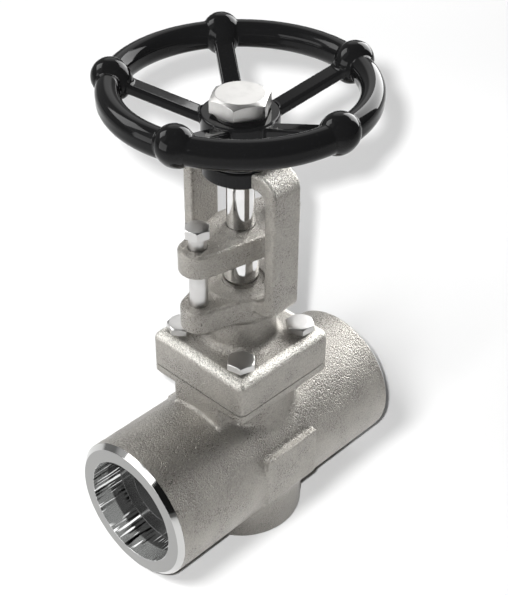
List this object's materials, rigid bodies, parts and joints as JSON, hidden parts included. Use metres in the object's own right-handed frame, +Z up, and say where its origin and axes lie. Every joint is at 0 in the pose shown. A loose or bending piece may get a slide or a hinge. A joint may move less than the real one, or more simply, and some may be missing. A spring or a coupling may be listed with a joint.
{
  "type": "forged gate valve",
  "caption": "Forged gate valve with socket ends, bolted square bonnet, open yoke with gland and knotted spoked handwheel; wheel raises a wedge on a rising stem.",
  "frame": {"origin": "centre of the flat underside of the base boss, on the stem axis", "axes": "+X along the pipe to the rear socket, +Z up along the stem, +Y across the pipe; the yoke arms stand at +Y and -Y"},
  "size_m": [0.12, 0.1008, 0.1978],
  "materials": {
    "forged_steel": "bead-blasted forging skin, fine speckle, satin",
    "machined_steel": "turned, smooth",
    "polished_steel": "bright polished",
    "black_enamel": "gloss black enamel",
    "bronze": "turned bronze",
    "graphite": "pressed graphite, matt"
  },
  "bodies": {
    "valve": {"body": "forged_steel", "seat_ring_front": "machined_steel", "seat_ring_rear": "machined_steel", "bonnet": "forged_steel", "bonnet_gasket": "graphite", "bonnet_bolt_1": "polished_steel", "bonnet_bolt_2": "polished_steel", "bonnet_bolt_3": "polished_steel", "bonnet_bolt_4": "polished_steel", "backseat_bush": "bronze", "packing_ring_1": "graphite", "packing_ring_2": "graphite", "packing_ring_3": "graphite", "packing_ring_4": "graphite", "packing_ring_5": "graphite", "gland_bush": "polished_steel", "gland_flange": "forged_steel", "gland_bolt_front": "polished_steel", "gland_bolt_rear": "polished_steel", "yoke_bush": "black_enamel", "thrust_washer_lower": "machined_steel", "thrust_washer_upper": "machined_steel"},
    "wheel": {"handwheel": "black_enamel", "yoke_nut": "bronze", "wheel_key": "machined_steel", "wheel_nut": "polished_steel"},
    "stem": {"stem": "polished_steel", "wedge": "machined_steel"}
  },
  "joints": [
    {"name": "wheel_turn", "type": "hinge", "parent": "valve", "child": "wheel", "pos_m": [0, 0, 0.18], "axis": [0, 0, -1], "range_deg": [0, 4410]},
    {"name": "stem_lower", "type": "slide", "parent": "valve", "child": "stem", "axis": [0, 0, -1], "range_m": [0, 0.02451]}
  ],
  "couplings": [
    {"joint": "stem_lower", "follows": "wheel_turn", "m_per_rad": 0.00031831}
  ]
}
